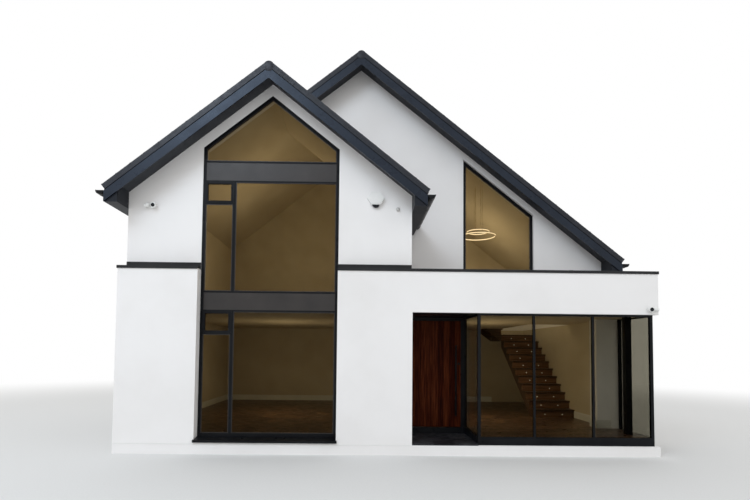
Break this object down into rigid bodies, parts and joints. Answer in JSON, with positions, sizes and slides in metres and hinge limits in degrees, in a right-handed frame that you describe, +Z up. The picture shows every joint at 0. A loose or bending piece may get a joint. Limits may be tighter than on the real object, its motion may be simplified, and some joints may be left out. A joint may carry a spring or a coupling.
{
  "type": "detached house",
  "caption": "Two-storey detached house: gable wing with tall glazing, taller main gable, flat-roofed glazed entrance and a hinged front door.",
  "frame": {"origin": "middle of the ground-floor footprint, on the underside of the raft, at ground level", "axes": "+X along the front to the right seen from the street, +Y from the front to the back, +Z up"},
  "size_m": [10.86, 7.94, 8.7056],
  "materials": {
    "render": "smooth white render on masonry",
    "parquet": "oiled oak parquet",
    "roof_sheet": "grey roofing sheet",
    "roof_tile": "dark grey flat tiles, satin",
    "grey_metal": "blue-grey coated sheet, satin",
    "black_metal": "black coated metal, satin",
    "dark_panel": "dark bronze panels, satin",
    "window_glass": "clear double glazing",
    "slate": "dark slate",
    "mahogany": "dark red stained boards, satin",
    "stair_timber": "oiled timber",
    "lamp_metal": "white",
    "white_plastic": "white"
  },
  "bodies": {
    "house": {"raft": "render", "ground_floor": "parquet", "lower_front_wall": "render", "fascia": "render", "lower_left_wall": "render", "lower_right_wall": "render", "lower_back_wall": "render", "porch_side_wall": "render", "entrance_pier": "render", "first_floor": "parquet", "flat_roof": "roof_sheet", "wing_gable_wall": "render", "upper_left_wall": "render", "wing_right_wall": "render", "main_gable_wall": "render", "upper_right_wall": "render", "back_gable_wall": "render", "left_roof_slope": "roof_tile", "wing_right_slope": "roof_tile", "main_right_slope": "roof_tile", "barge_boards": "grey_metal", "verge_strips": "black_metal", "ridge_caps": "roof_tile", "eave_boards": "grey_metal", "gutters": "black_metal", "downpipes": "black_metal", "ledge_coping": "grey_metal", "tall_window_frame": "black_metal", "dark_panels": "dark_panel", "window_sill": "black_metal", "sloping_window_frame": "black_metal", "glass_room_front": "black_metal", "glass_room_sides": "black_metal", "glass_room_base": "black_metal", "window_glass": "window_glass", "steel_column": "black_metal", "porch_floor": "slate", "door_frame": "black_metal", "door_threshold": "black_metal", "stair_treads": "stair_timber", "stair_risers": "stair_timber", "stair_strings": "stair_timber", "other_window_frames": "black_metal", "ring_lamp": "lamp_metal", "alarm_box": "white_plastic", "wall_sensors": "white_plastic"},
    "front_door": {"door_leaf": "mahogany", "door_furniture": "black_metal"}
  },
  "joints": [
    {"name": "front_door_hinge", "type": "hinge", "parent": "house", "child": "front_door", "pos_m": [0.504, -2.254, 0], "axis": [0, 0, 1], "range_deg": [0, 90]}
  ]
}
